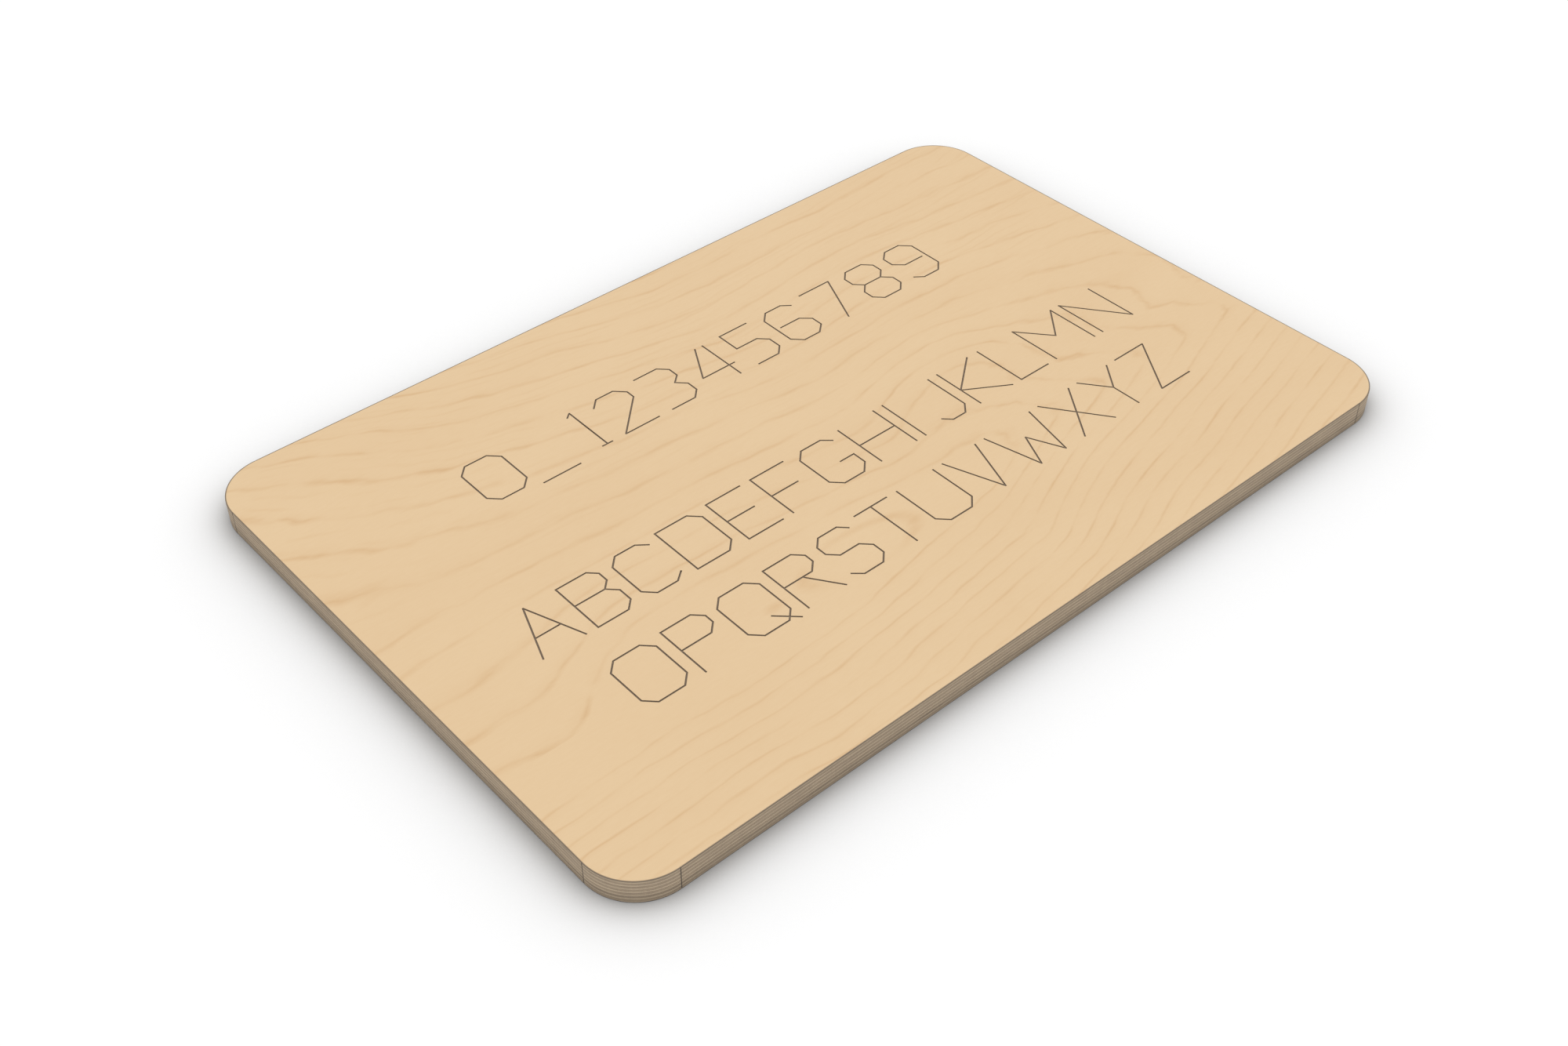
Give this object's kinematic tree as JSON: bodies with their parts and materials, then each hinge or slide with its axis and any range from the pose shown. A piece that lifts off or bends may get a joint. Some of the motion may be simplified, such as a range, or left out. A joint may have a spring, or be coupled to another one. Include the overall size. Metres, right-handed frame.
{
  "type": "plaque",
  "caption": "Flat rectangular wooden plaque with round corners, laid up from thin crossed veneers and scored on its face with rows of plain single-line lettering.",
  "frame": {"origin": "middle of the flat back face, where the plaque rests or is stuck to a wall", "axes": "+X along the plaque in the reading direction, +Y up the letters, +Z out of the scored face"},
  "size_m": [0.2286, 0.1524, 0.006],
  "materials": {
    "maple_face": "fine sanded clear maple veneer, satin, with scorched brown score lines",
    "long_grain_birch": "birch veneer with its grain along the plaque, laser-browned at the cut edge",
    "cross_grain_birch": "birch veneer with its grain across the plaque, laser-browned and darker at the cut edge",
    "birch_back": "sanded birch veneer, satin, browned at the cut edge",
    "cured_glue": "hardened wood glue, a thin brown line at the cut edge"
  },
  "bodies": {
    "root": {"face_veneer": "maple_face", "glue_line_01": "cured_glue", "cross_veneer_02": "cross_grain_birch", "glue_line_02": "cured_glue", "long_veneer_03": "long_grain_birch", "glue_line_03": "cured_glue", "cross_veneer_04": "cross_grain_birch", "glue_line_04": "cured_glue", "long_veneer_05": "long_grain_birch", "glue_line_05": "cured_glue", "cross_veneer_06": "cross_grain_birch", "glue_line_06": "cured_glue", "long_veneer_07": "long_grain_birch", "glue_line_07": "cured_glue", "cross_veneer_08": "cross_grain_birch", "glue_line_08": "cured_glue", "long_veneer_09": "long_grain_birch", "glue_line_09": "cured_glue", "cross_veneer_10": "cross_grain_birch", "glue_line_10": "cured_glue", "long_veneer_11": "long_grain_birch", "glue_line_11": "cured_glue", "cross_veneer_12": "cross_grain_birch", "glue_line_12": "cured_glue", "back_veneer": "birch_back"}
  },
  "joints": []
}
